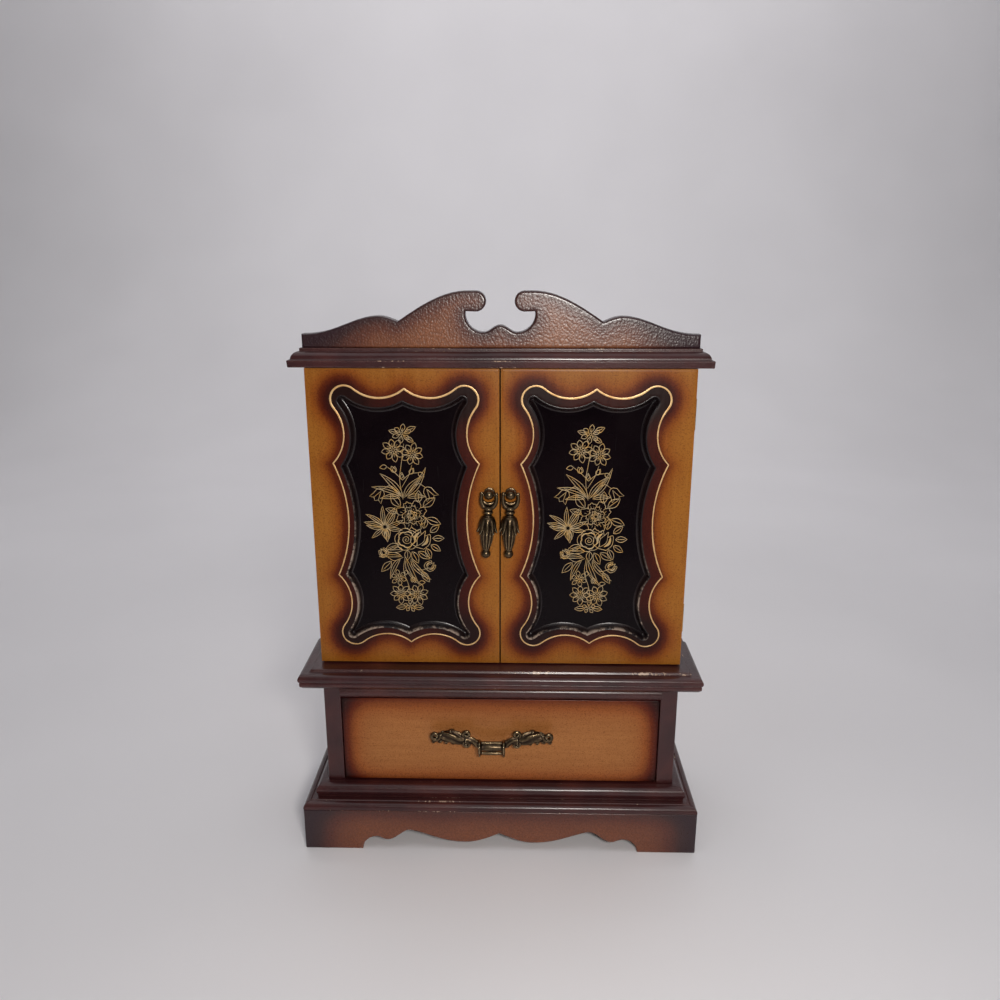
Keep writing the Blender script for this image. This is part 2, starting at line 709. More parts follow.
def make_waist():
    """The waist board: its core, and the nosing with a fillet below and a cove above."""
    half, front, back, low, high = spans(WAIST)
    r, return_end = 3.1, front + 60.4
    top, inner = high - 0.1, half - 24
    made = moulding(
        "waist_nosing", half, front, return_end,
        filleted(
            (half - 22, low), (half - 2.8, low, 0.9), (half - 0.9, low + 2.0, 0.9),
            (half - 0.8, low + 4.0, 0.4),
        ),
        plain(*arc((half - r, low + 7.0), r, -50, 88, 12)),
        filleted((half - 4, high - 1.6), (half - 6.9, high - 1.5, 0.4), (half - 7.6, top, 0.5), (inner, top)),
    )
    corners = [
        (inner, low + 0.05), (half - 2.5, low + 0.05, 0.8), (half - 2.3, low + 9.9, 0.9),
        (half - 7.5, low + 10.1, 0.3), (half - 7.8, high, 0.6), (inner, high),
    ]
    moulding("waist_core", half, front, back, filleted(*corners))
    return made


def make_cornice():
    """The cornice: a chipped fascia, a bold quarter round and a small fillet under the pediment."""
    half, front, back, low, high = spans(CORNICE)
    step_z, r, set_back = low + 4.7, 4.7, half - 6.8
    return moulding(
        "cornice_moulding", half, front, back,
        filleted((half - 22, low), (half - 0.3, low, 0.6), (half, step_z - 0.3, 0.5), (half - 1.6, step_z)),
        plain(*arc((half - 1.9 - r, step_z), r, 4, 84, 12)),
        filleted(
            (half - 6.6, high - 2.2), (set_back, high - 1.9, 0.2), (set_back, high, 0.5), (half - 30, high)
        ),
    )


def make_rail():
    """The half-round bead over the drawer, with a small quirk at each edge."""
    half, front, back, low, high = spans(RAIL)
    r, columns = 4.5, 110
    line, _ = joined(
        plain((back, low), (front + 2.2, low + 0.02)),
        plain(*arc((front + r, low + r + 0.2), r, 262, 100, 16)),
        filleted((front + 1.6, low + 2 * r + 0.5), (front + 1.2, high - 0.9, 0.2), (front + 1.2, high, 0.2)),
        plain((back, high)),
    )
    points = [(x, y, z) for x in np.linspace(RAIL[0][0] + 0.05, half - 0.05, columns + 1) for y, z in line]
    points = wobble(np.array(points), UNEVEN, 0.04, 3)
    rub = np.clip(1 - (points[:, 1] - front) / 2.5, 0, 1) * 0.75
    faces = tube_faces(columns + 1, len(line))
    return make_piece("drawer_rail_bead", points, faces, "dark_lacquer", "case", 32, edge=rub)


def make_mouldings():
    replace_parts(make_lower_base(), "base_lower_board")
    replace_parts(make_upper_base(), "base_upper_board")
    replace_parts(make_waist(), "waist_board")
    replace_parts(make_cornice(), "cornice_board")
    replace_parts(make_rail(), "drawer_rail")


# ---- pediment and apron ----


def eased(p, q, steps, ease):
    """Points on a curve from p to q, evenly spaced in X; ease shapes its climb."""
    t = np.arange(1, steps + 1) / steps
    return np.stack([p[0] + (q[0] - p[0]) * t, p[1] + (q[1] - p[1]) * ease(t)], axis=1)


def wave(p, q, power, steps):
    """A smooth wave from p to q, level at both ends."""
    return eased(p, q, steps, lambda t: (1 - np.cos(np.pi * t**power)) / 2)


def fall(p, q):
    """A curve from p to q, level at p and steepest at q."""
    return eased(p, q, 10, lambda t: 1 - np.cos(np.pi * t / 2))


def rise(p, q):
    """A curve from p to q, steepest at p and level at q."""
    return eased(p, q, 18, lambda t: np.sin(np.pi * t / 2))


def mirrored(half):
    """A right half outline and its mirror image, as one closed outline."""
    half = np.vstack(half)
    other = half[::-1] * [-1, 1]
    keep = np.abs(other[:, 0]) > 1e-6
    return np.vstack([half, other[keep]])


def pediment_outline():
    """The pediment's edge above its base line, with a scroll on each side of its middle."""
    half, height = PEDIMENT[1][0], PEDIMENT[1][2] - PEDIMENT[0][2]
    shoulder, crest, valley = (half, 8.4), (75.4, 19.3), (63.4, 15.9)
    scroll_r = 6.2
    scroll = (15, height - scroll_r)
    return mirrored([
        [(half, 0), shoulder],
        wave(shoulder, crest, 1.15, 16),
        fall(crest, valley),
        rise(valley, (scroll[0] + 5, height)),
        arc(scroll, scroll_r, 90, 270, 18),
        arc((10.3, 20.7), 11.2, 8, -90, 16),
        wave((10.3, 9.5), (0, 13.9), 1, 8),
    ])


def make_pediment():
    """The broken pediment: thick board, rounded edges, crackled face, dark at its edge and its ends."""
    outline = pediment_outline()
    half, front, back, base, _ = spans(PEDIMENT)
    points, faces, depth = board([outline], front, back, 0.7, 1.3, 0.05)
    x, z = points[:, 0], points[:, 2].copy()
    ends = fade(half - np.abs(x), 30, 1.5)
    rimmed = fade(distance_to(points[:, [0, 2]], [outline[1:-1]], closed=False), 6.5, 1.2)
    burst = np.clip(0.1 + 0.62 * rimmed + 0.7 * ends, 0, 1)
    edge = fade(depth, 0.7) * np.where(np.abs(x) < 30, 0.85, 0.3) * (z > 1.5)
    points[:, 2] += base
    values = {"burst": burst, "edge": edge}
    made = make_piece("pediment_board", points, faces, "pediment_lacquer", "case", 40, **values)
    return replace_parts(made, "pediment")


def make_apron():
    """The scalloped apron, shaded dark at its ends and under the base moulding."""
    half, front, back, _, height = spans(PLINTH)
    foot, r = 96.2, 10
    dip, crest, low, mid = (78, 7.7), (62.5, 15.6), (24, 6.5), (0, 13.8)
    outline = mirrored([
        [(half, height), (half, 0)],
        arc((foot - r, 0), r, 0, 90, 10),
        wave((foot - r, r), dip, 1, 6),
        wave(dip, crest, 1, 10),
        wave(crest, low, 0.75, 16),
        fall(low, mid),
    ])
    points, faces, depth = board([outline], front, back, 1.6, 0.7, 0.03)
    x, z = points[:, 0], points[:, 2]
    ends = fade(half - np.abs(x), 17, 1.5)
    top = fade(height - z, 8.0, 1.4)
    burst = np.clip(0.08 + 0.95 * ends + 0.42 * top, 0, 1)
    edge = np.clip(fade(depth, 0.6) * 0.55 + fade(height - z, 0.8), 0, 1)
    made = make_piece("apron_board", points, faces, "apron_lacquer", "case", 40, burst=burst, edge=edge)
    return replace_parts(made, "apron_front")


# ---- doors ----

PANEL = np.array([60.2, 236.2])
LOBE, LOBE_R = np.array([37.8, 79.3]), 8.8
TOP_CUSP, SIDE_CUSP = np.array([0, 86.1]), np.array([46.9, 38])
TOP_R, SIDE_R, LONG_R = 25.0, 27.5, 91.0
OPENING_INSET = 5.7
OPENING_SHIFT = np.array([-1.5, -0.9])
SKIN = 0.08
FACE_THICK = 4


def circles_meet(p, q, rp, rq, side):
    """Where two circles meet; side picks the crossing."""
    apart = np.linalg.norm(q - p)
    u = (q - p) / apart
    along = (rp**2 - rq**2 + apart**2) / (2 * apart)
    return p + along * u + side * math.sqrt(rp**2 - along**2) * np.array([-u[1], u[0]])


def bearing(centre, p, low=-180.0):
    """The direction of p from a centre, in degrees from low upwards."""
    turn = math.degrees(math.atan2(p[1] - centre[1], p[0] - centre[0]))
    return turn + 360 if turn < low else turn


def opening(inset):
    """The shaped opening's outline about its middle, set back by inset inside the gold line."""
    top_arc = circles_meet(TOP_CUSP, LOBE, TOP_R, TOP_R + LOBE_R, 1)
    side_arc = circles_meet(SIDE_CUSP, LOBE, SIDE_R, SIDE_R + LOBE_R, -1)
    long_arc = np.array([SIDE_CUSP[0] + math.sqrt(LONG_R**2 - SIDE_CUSP[1] ** 2), 0])
    top = np.array([0, top_arc[1] - math.sqrt((TOP_R + inset) ** 2 - top_arc[0] ** 2)])
    cusp = circles_meet(side_arc, long_arc, SIDE_R + inset, LONG_R + inset, -1)
    quarter = np.vstack([
        arc(top_arc, TOP_R + inset, bearing(top_arc, top), bearing(top_arc, LOBE), 14),
        arc(LOBE, LOBE_R - inset, bearing(LOBE, top_arc), bearing(LOBE, side_arc), 16)[1:],
        arc(side_arc, SIDE_R + inset, bearing(side_arc, LOBE), bearing(side_arc, cusp, 0), 14)[1:],
        arc(long_arc, LONG_R + inset, bearing(long_arc, cusp), 180, 12)[1:],
    ])
    right = np.vstack([quarter, (quarter * [1, -1])[::-1][1:]])
    return np.vstack([right, (right * [-1, 1])[::-1][1:-1]])


def door_burst(flat, outline):
    """Sunburst shading about the opening: darkest at its corners, red-brown inside the gold line."""
    away = distance_to(flat, [outline + OPENING_SHIFT])
    x, z = np.abs(flat[:, 0]), np.abs(flat[:, 1])
    corner = hump(x - 39, 15) * hump(z - 80, 17)
    top = hump(z - 84, 12)
    outside = (0.6 + 0.36 * corner) * fade(away, 6.2 + 10.5 * corner + 1.5 * top, 1.3)
    inner = 0.7 + 0.34 * corner + 0.1 * top + 0.015 * away
    return np.where(is_inside(flat, [outline]), inner, outside)


def make_door_face(side):
    """The front layer of a door: sprayed face, rounded edges, and the shaped opening through it."""
    low, high = DOORS[side]
    middle = PANEL * [SIDES[side], 1]
    rim = rectangle(low, high, SKIN)
    hole = opening(OPENING_INSET + SKIN) + middle + OPENING_SHIFT
    points, faces, _ = board([rim, hole], low[1] - SKIN, low[1] + FACE_THICK + SKIN, 1.5, 0.9)
    flat = points[:, [0, 2]] - middle
    low_left = np.clip(0.72 - flat[:, 1] / 400 - flat[:, 0] / 160, 0.5, 0.95)
    lip = low_left * fade(distance_to(flat, [opening(OPENING_INSET) + OPENING_SHIFT]), 0.5)
    outer = 0.6 * fade(distance_to(points[:, [0, 2]], [rim]), 0.4)
    values = {"burst": door_burst(flat, opening(0)), "edge": np.clip(lip + outer, 0, 1)}
    make_piece(f"door_face_{side}", points, faces, "door_lacquer", f"door_{side}", 40, **values)


def make_recess_wall(side):
    """The sloping wall of a shaped opening, from the door's face down to the black panel."""
    front = DOORS[side][0][1]
    middle = PANEL * [SIDES[side], 1] + OPENING_SHIFT
    lip = [(-0.75, 3.97, 0), (-0.75, 0.2, 0), (-0.66, -0.02, 0.6), (-0.5, -0.08, 1), (-0.15, -0.1, 1)]
    upper = [(0.1, -0.02, 1), (0.35, 0.3, 0.9), (0.7, 1.0, 0.5), (1.05, 1.8, 0.3)]
    lower = [(1.4, 2.6, 0.15), (1.8, 3.3, 0), (2.4, 3.8, 0), (3.0, 3.97, 0)]
    loop = wound([subdivided(opening(OPENING_INSET), 1.2)])[0]
    points, edge = [], []
    for inset, depth, worn in lip + upper + lower:
        x, z = (loop + inward(loop) * inset).T
        points.append(np.stack([x + middle[0], np.full(len(x), front + depth), z + middle[1]], axis=1))
        edge.append(np.clip(0.35 - z / 110 - x / 150, 0.15, 1.0) * worn)
    faces = tube_faces(len(points), len(loop), closed=True)
    points, edge = np.vstack(points), np.concatenate(edge)
    make_piece(f"recess_wall_{side}", points, faces, "recess_lacquer", f"door_{side}", 50, edge=edge)


def ribbon(path, width, height, closed=False, taper=0.0):
    """A strip of paint laid along a flat path: points about the path's plane, and faces. Y points forward."""
    path = np.asarray(path, float)
    ahead = np.roll(path, -1, axis=0) - np.roll(path, 1, axis=0) if closed else np.gradient(path, axis=0)
    run = units(ahead)
    along = np.linspace(-1, 1, len(path))
    wide = np.broadcast_to(width, len(path)) / 2 * (1 - taper * along**2)
    section = [(-1, 0.0), (-0.55, 0.8), (0, 1.0), (0.55, 0.8), (1, 0.0)]
    points = []
    for p, (x, z), w in zip(path, run, wide):
        points += [(p[0] - z * w * out, -height * up, p[1] + x * w * out) for out, up in section]
    return np.array(points), tube_faces(len(path), len(section), closed)


def make_gold_line(side):
    """The gold pinstripe about the opening, a little uneven, as a brushed line is."""
    s = SIDES[side]
    path = subdivided(opening(0), 1.0)
    drift = np.array([smooth_noise(Vector((x * 0.06, z * 0.06, s))) for x, z in path])
    top = hump(np.abs(path[:, 1]) - 80, 14) * (path[:, 1] > 0)
    points, faces = ribbon(path, 0.95 + 0.25 * drift + 0.45 * top, 0.14, closed=True)
    points += [PANEL[0] * s, DOORS[side][0][1] - SKIN + 0.03, PANEL[1]]
    make_piece(f"gold_line_{side}", points, faces, "gilt_line", f"door_{side}", 60)


# ---- the painted bouquet ----


def curve(*places, steps=7):
    """A smooth open line through the places."""
    p = [np.array(v, float) for v in places]
    p = [2 * p[0] - p[1], *p, 2 * p[-1] - p[-2]]
    out = []
    for a, b, c, d in zip(p, p[1:], p[2:], p[3:]):
        for t in np.arange(steps) / steps:
            bend, twist = 2 * a - 5 * b + 4 * c - d, 3 * b - a - 3 * c + d
            out.append(0.5 * (2 * b + (c - a) * t + bend * t**2 + twist * t**3))
    return np.array(out + [p[-2]])


def turned(points, at, degrees, size=1.0):
    """Points turned about the origin, scaled and moved to a place."""
    a = math.radians(degrees)
    spin = np.array([[math.cos(a), math.sin(a)], [-math.sin(a), math.cos(a)]])
    return np.asarray(points, float) @ spin * size + np.array(at, float)


def petal(length, width, pinch=0.8, steps=9):
    """A petal along +X from the origin, round at its tip; pinch above 1 makes the tip pointed."""
    t = np.linspace(0, 1, steps)
    edge = np.stack([t * length, np.sin(np.pi * t**pinch) * width / 2], axis=1)
    return np.vstack([edge, (edge * [1, -1])[::-1][1:-1]])


def leaf(at, degrees, length, width, bend=0.0):
    """A pointed leaf with a mid rib, bending sideways by bend."""
    shape = petal(length, width, 0.9, 11)
    shape[:, 1] += bend * (shape[:, 0] / length) ** 2
    t = np.linspace(0.08, 0.8, 6)
    rib = np.stack([t * length, bend * t**2], axis=1)
    return [(turned(shape, at, degrees), True), (turned(rib, at, degrees), False)]


def daisy(at, radius, petals=8, phase=0.0, hub=0.2):
    """A flower of separate round petals about a small ring."""
    lines = [(np.array(at) + arc((0, 0), radius * hub * 0.6, 0, 330, 10), True)]
    for k in range(petals):
        turn = phase + 360 * k / petals
        start = turned([(radius * hub, 0)], at, turn)[0]
        reach = radius * (1 - hub) * (1.0 + 0.08 * math.sin(k * 2.3))
        lines.append((turned(petal(reach, radius * 0.46, 1.25), start, turn), True))
        lines.append((turned([(0, 0), (reach * 0.5, 0)], start, turn), False))
    return lines


def bell(at, degrees, size):
    """A small bell flower that hangs at the end of its stem, with a three-pointed lip."""
    edge = np.array([(0, 0.12), (0.22, 0.36), (0.6, 0.4), (1.0, 0.52), (0.86, 0.2), (1.06, 0.0)])
    body = np.vstack([edge, (edge * [1, -1])[-2::-1]])
    lines = [(turned(body, at, degrees, size), True)]
    for v in (-0.2, 0.2):
        lines.append((turned(curve((0.15, 0), (0.5, v * 0.5), (0.85, v)), at, degrees, size), False))
    return lines


def peony(at, radius):
    """A full round flower: scalloped petals in three rings, with short strokes toward its heart."""
    lines = []
    for ring, count in ((1.0, 8), (0.62, 7), (0.34, 5)):
        turns = np.linspace(0, 2 * np.pi, count * 11, endpoint=False)
        scallop = 1 - 0.22 * np.abs(np.cos(turns * count / 2)) ** 4 + 0.05 * np.sin(turns * count * 3)
        wavy = radius * ring * scallop * (1 + 0.08 * np.sin(3 * turns + ring * 5))
        lines.append((np.array(at) + np.stack([np.cos(turns), np.sin(turns)], axis=1) * wavy[:, None], True))
        for k in range(count * 3):
            turn = 360 * (k + 0.5) / (count * 3) + 20 * ring
            tip = 0.76 + 0.1 * math.sin(k * 2.1)
            stroke = [(radius * ring * 0.62, 0), (radius * ring * tip, 0)]
            lines.append((turned(stroke, at, turn), False))
    for k in range(7):
        turn = 360 * k / 7
        base = turned([(radius * 0.1, 0)], at, turn)[0]
        lines.append((turned(petal(radius * 0.2, radius * 0.09), base, turn), True))
    return lines


def lily(at, radius):
    """A spiky flower of long narrow curling petals of uneven length, with gold strokes at its heart."""
    lines = []
    for k in range(12):
        turn = 12 + 360 * k / 12
        reach = radius * (0.84 + 0.12 * math.sin(k * 2.9 + 1) + 0.24 * math.sin(math.radians(turn - 20)))
        curl = radius * 0.3 * math.sin(k * 1.7 + 0.6)
        lines += leaf(turned([(radius * 0.12, 0)], at, turn)[0], turn, reach, radius * 0.22, curl)
    for k in range(12):
        turn = 360 * k / 12
        stroke = [(radius * reach, 0) for reach in (0.08, 0.22, 0.42)]
        lines.append((turned(stroke, at, turn), False, 0.75))
    return lines


def rose(at, radius):
    """A rose: a spiral heart inside cupped petals."""
    turns = np.linspace(0, 4.6 * np.pi, 40)
    heart = np.stack([np.cos(turns), np.sin(turns)], axis=1) * (radius * 0.5 * turns / turns[-1])[:, None]
    lines = [(np.array(at) + heart, False)]
    for k in range(5):
        cup = arc((radius * 0.5, 0), radius * 0.55, -86, 86, 10) * [1, 1.1]
        lines.append((turned(cup, at, 30 + 72 * k), False))
        lines.append((turned(cup * [0.72, 0.72], at, 64 + 72 * k), False, 0.9))
    return lines


def tulip(at, degrees, size):
    """A tulip seen from the side, its petals partly filled with gold."""
    edge = np.array([(0, 0), (0.1, 0.42), (0.55, 0.56), (1.05, 0.34), (0.85, 0.12), (1.12, 0)])
    cup = curve(*edge, *(edge * [1, -1])[-2:0:-1], steps=5)
    lines = [(turned(cup, at, degrees, size), True)]
    for v in (-0.2, 0.2):
        lines.append((turned(curve((0.1, 0), (0.5, v), (0.9, v * 0.4)), at, degrees, size), False))
    for v in (-0.36, 0.36):
        fill = curve((0.22, v * 0.6), (0.55, v), (0.92, v * 0.7))
        lines.append((turned(fill, at, degrees, size), False, 0.17 * size))
    return lines


def spray(places, size, side):
    """A stem with a small round leaf at each place but the first, alternating sides."""
    lines = [(curve(*places), False)]
    for k, (before, here) in enumerate(zip(places, places[1:])):
        run = math.degrees(math.atan2(here[1] - before[1], here[0] - before[0]))
        lines.append((turned(petal(size, size * 0.62), here, run + side * (50 if k % 2 else -20)), True))
        lines.append((turned(petal(size * 0.9, size * 0.55), before, run - side * 55), True))
    return lines


def bouquet():
    """Every line of the bouquet about the panel's middle: a long oval spray of mixed flowers."""
    lines = []
    lines += daisy((-1.5, 57.5), 6.2, 6, 20)
    lines += leaf((-4, 58), 165, 6, 3) + leaf((1, 59), 25, 7, 3.4) + leaf((1, 55), -30, 5.5, 3)
    lines += daisy((-7.4, 46.8), 7.6, 8, 10) + daisy((4.6, 44.2), 7.4, 8, 30)
    lines.append((curve((-0.5, 51), (-2.4, 38), (-3.8, 27), (-2, 14)), False))
    lines.append((curve((4.4, 37), (2, 30), (-2.6, 22)), False))
    lines += spray([(-3, 28), (-7, 32), (-12, 36)], 4.6, 1) + spray([(-2, 27), (3, 31), (8.5, 32)], 4.6, -1)
    lines += leaf((-2, 15), 116, 21, 4.2, 6) + leaf((-1.6, 15), 66, 18, 3.8, -5)
    lines += leaf((-3, 16), 142, 19, 3.6, 7) + leaf((0, 16), 36, 22, 3.6, 8)
    lines += leaf((-4, 15), 160, 12, 3.2, 5) + leaf((1, 15), 24, 11, 3.2, -4)
    lines.append((curve((-4, 18), (-10, 23), (-15.5, 20.5)), False))
    lines.append((curve((2, 19), (8, 24.5), (13, 22)), False))
    lines += bell((-15.5, 20.5), 236, 8.5) + bell((13, 22), -58, 8.5)
    lines += peony((3.4, 3), 10.2)
    lines += leaf((-4, 9), 128, 10, 5.4) + leaf((8, 12), 88, 8, 4.6) + leaf((11, 9), 38, 10, 5.2)
    lines += leaf((13, 1), -22, 10, 5) + leaf((-6, 5), 162, 8, 4)
    lines += lily((-14.6, -5), 12.4)
    lines += rose((-0.6, -13.6), 7.4) + tulip((6, -19), 62, 11.5)
    for turn in (78, 38, 2, -34, -66):
        lines += leaf(turned([(7.4, 0)], (9.4, -13), turn)[0], turn, 7.6, 4)
    lines += leaf((-6, -17), 200, 9, 4) + leaf((-3, -21), 170, 11, 4, 3)
    lines += leaf((-4, -25.5), 158, 14, 3.4, 6)
    lines.append((curve((-3, -26), (-9, -28.5), (-13.5, -26)), False))
    lines += tulip((-14.5, -25.5), 122, 5.6) + leaf((-11, -29), 226, 10, 4.4)
    lines += leaf((-5, -27), 222, 15, 3.4, 6) + leaf((-1, -27), -86, 19, 4, 7)
    lines += leaf((2, -27), -72, 18, 3.6, 8)
    lines += leaf((3, -22), -64, 9, 4.4) + leaf((7, -22), -34, 9, 4.4) + leaf((0, -21), -92, 7, 4)
    lines.append((curve((3, -31), (8, -35), (14, -33)), False))
    lines += tulip((12, -34.5), 42, 6.4) + leaf((9, -36), -56, 9, 3.8)
    lines.append((curve((-2, -26), (-3, -36), (0, -46), (2, -58)), False))
    lines += daisy((-6.5, -40.5), 5.6, 6, 40)
    lines += spray([(-1, -35), (3, -40), (7, -44)], 4.2, 1)
    lines += daisy((-5.4, -52), 7, 8, 0) + daisy((5.8, -52.4), 7.4, 8, 20)
    lines += daisy((0.6, -61), 4.4, 5, 90, 0.25)
    lines += leaf((-2, -61.5), 184, 7, 3.4) + leaf((3, -61.5), -6, 6.6, 3.4)
    return lines


def make_bouquet(side, lines):
    """The bouquet laid on a door's black panel in fine raised gold lines."""
    s = SIDES[side]
    front = box_mm(f"door_panel_{side}")[0][1]
    points, faces, start = [], [], 0
    for path, closed, *filled in lines:
        taper = 0.0 if closed else 0.85 if filled else 0.35
        strip, strip_faces = ribbon(path, *(filled or [0.42]), 0.1, closed, taper)
        points.append(strip)
        faces += [[start + i for i in f] for f in strip_faces]
        start += len(strip)
    points = np.vstack(points) + [PANEL[0] * s - 1.2, front + 0.02, PANEL[1] - 0.8]
    make_piece(f"gilt_bouquet_{side}", points, faces, "gilt_flowers", f"door_{side}", 60)


# ---- drawer front and stiles ----


def make_drawer_front():
    """The drawer front: pink-tan lacquer, sprayed dark toward its edges."""
    low, high = DRAWER
    points, faces, depth = board([rectangle(low, high)], low[1], high[1], 1.6, 0.8)
    x, y, z = points.T
    sides = fade(high[0] - np.abs(x), 8.5, 1.2)
    top = fade(high[2] - z, 10.0, 1.3)
    bottom = fade(z - low[2], 7.5, 1.3)
    burst = np.clip(0.74 * sides + 0.5 * top + 0.42 * bottom, 0, 1)
    burst = np.where(y > low[1] + 1.6, 0.85, burst)
    edge = hump(depth - 2.1, 0.45) * 0.8
    made = make_piece("drawer_face", points, faces, "drawer_lacquer", "drawer", 40, burst=burst, edge=edge)
    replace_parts(made, "drawer_front")


def make_stiles():
    for side in SIDES:
        low, high = box_mm(f"stile_{side}")
        points, faces, depth = board([rectangle(low, high)], low[1], high[1], 2.5, 0.6, 0.03)
        edge = fade(depth, 0.45) * 0.85
        made = make_piece(f"stile_post_{side}", points, faces, "dark_lacquer", "case", 40, edge=edge)
        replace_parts(made, f"stile_{side}")


# ---- cast brass ----

PIVOT_OUT = 5.0
PULL_Z = 84.0


def swept(path, radii, sections=20, flutes=0, depth=0.0, twist=0.0, squash=1.0):
    """A closed tube along a 3-D path, with flutes that may twist; squash flattens it along Y."""
    run = units(np.gradient(path, axis=0))
    radii = np.interp(np.linspace(0, 1, len(path)), np.linspace(0, 1, len(radii)), radii)
    side = np.cross(run[0], (0, 1, 0))
    turns = 2 * np.pi * np.arange(sections) / sections
    points = []
    for k, (p, t, r) in enumerate(zip(path, run, radii)):
        side = side - (side @ t) * t
        side /= np.linalg.norm(side)
        grooved = r * (1 - depth * (0.5 + 0.5 * np.cos(flutes * turns + twist * k / len(path) * 2 * np.pi)))
        ring = np.outer(np.cos(turns) * grooved, side) + np.outer(np.sin(turns) * grooved, np.cross(t, side))
        ring[:, 1] *= squash
        points.append(p + ring)
    return np.vstack(points), tube_faces(len(path), sections)


def lathe(profile, axis="z", count=56, shape=None):
    """A solid turned from (radius, height) points about an axis; shape changes radius and height by angle."""
    turns = 2 * np.pi * np.arange(count) / count
    points = []
    for k, (r, h) in enumerate(profile):
        radius, height = np.full(count, max(r, 0.02)), np.full(count, float(h))
        if shape:
            radius, height = shape(turns, radius, height, k / (len(profile) - 1))
        points.append(np.stack([radius * np.cos(turns), radius * np.sin(turns), height], axis=1))
    order = {"x": [2, 0, 1], "y": [0, 2, 1], "z": [0, 1, 2]}[axis]
    return np.vstack(points)[:, order], tube_faces(len(profile), count)


def ball(at, radius, scale=(1, 1, 1)):
    """A closed ball or egg."""
    profile = [(radius * math.sin(a), -radius * math.cos(a)) for a in np.linspace(0.03, math.pi - 0.03, 22)]
    points, faces = lathe(profile, count=32)
    return points * scale + np.array(at, float), faces


def moved(part, offset):
    """A part's points, shifted by an offset, and its faces."""
    return part[0] + np.array(offset, float), part[1]


def both_sides(part):
    """A part and its mirror image in X."""
    return [part, (part[0] * [-1, 1, 1], [f[::-1] for f in part[1]])]


def vectors(mesh, key="co"):
    """A vector for each point of a mesh: its place, or its normal."""
    flat = np.zeros(len(mesh.vertices) * 3)
    mesh.vertices.foreach_get(key, flat)
    return flat.reshape(-1, 3)


def ridges(mesh):
    """How much each point of a mesh stands out (toward 1) or lies in a hollow (toward 0)."""
    count = len(mesh.vertices)
    co, normal = vectors(mesh), vectors(mesh, "normal")
    ends = np.zeros(len(mesh.edges) * 2, int)
    mesh.edges.foreach_get("vertices", ends)
    a, b = ends.reshape(-1, 2).T
    run = units(co[b] - co[a])
    degree = np.maximum(np.bincount(ends, minlength=count), 1)

    def spread(at_a, at_b):
        """The mean at each point of the values of its edges."""
        return (np.bincount(a, at_a, count) + np.bincount(b, at_b, count)) / degree

    bulge = spread(-(normal[a] * run).sum(1), (normal[b] * run).sum(1))
    for _ in range(3):
        bulge = 0.5 * bulge + 0.5 * spread(bulge[b], bulge[a])
    return np.clip(0.4 + 3.6 * bulge, 0, 1)


def evaluated(obj):
    """The object with its modifiers applied."""
    return obj.evaluated_get(bpy.context.evaluated_depsgraph_get())


def remeshed(obj, voxel):
    """Give an object an even net of faces of a voxel's size."""
    even = obj.modifiers.new("even", "REMESH")
    even.mode = "VOXEL"
    even.voxel_size = voxel


def fuse(name, parts, voxel, body, place, trim=None, tilt=0.0):
    """Overlapping closed parts melted into one casting, then moved to its place. Millimetres."""
    faces, start = [], 0
    for points, part_faces in parts:
        faces += [[start + i for i in f] for f in part_faces]
        start += len(points)
    mesh = raw_mesh(name + "_raw", np.vstack([points for points, _ in parts]), faces)
    face_out(mesh)
    raw = link(bpy.data.objects.new(name + "_raw", mesh))
    remeshed(raw, voxel)
    raw.modifiers.new("soften", "SMOOTH").iterations = 2
    final = bpy.data.meshes.new_from_object(evaluated(raw))
    bpy.data.objects.remove(raw)
    final.name = name
    point_values(final, "ridge", ridges(final))
    co = vectors(final)
    if trim is not None:
        co[:, 1] = np.minimum(co[:, 1], trim)
    a = math.radians(tilt)
    co = co @ np.array([[math.cos(a), 0, -math.sin(a)], [0, 1, 0], [math.sin(a), 0, math.cos(a)]])
    final.vertices.foreach_set("co", ((co + np.array(place, float)) * MM).astype(np.float32).ravel())
    final.shade_smooth()
    final.materials.clear()
    return placed(final, "antique_brass", body)


def arm_path(*places, y=0.0, steps=8):
    """A smooth path in X and Z at a depth y, as 3-D points."""
    flat = curve(*places, steps=steps)
    return np.stack([flat[:, 0], np.full(len(flat), y), flat[:, 1]], axis=1)


def bell_shape(turns, radius, height, t):
    """Eight leaves round the pendant's bell: grooves between them, veins, and flaring pointed tips."""
    lobe = 0.5 + 0.5 * np.cos(8 * turns)
    groove = (1 - lobe) ** 2
    vein = np.clip(lobe - 0.86, 0, 1) * 2.2
    open_up = min(1, max(0, t - 0.12) * 1.9)
    low = max(0, t - 0.5) / 0.5
    radius = radius * (1 - 0.3 * groove * open_up + 0.12 * vein * open_up + 0.2 * low**2 * lobe)
    return radius, height - 2.0 * low * lobe**3 + 4.6 * low * groove


def fluted(turns, radius, height, t):
    """Ten shallow flutes on the tapering lower end."""
    return radius * (1 - 0.17 * (0.5 + 0.5 * np.cos(10 * turns)) ** 2), height


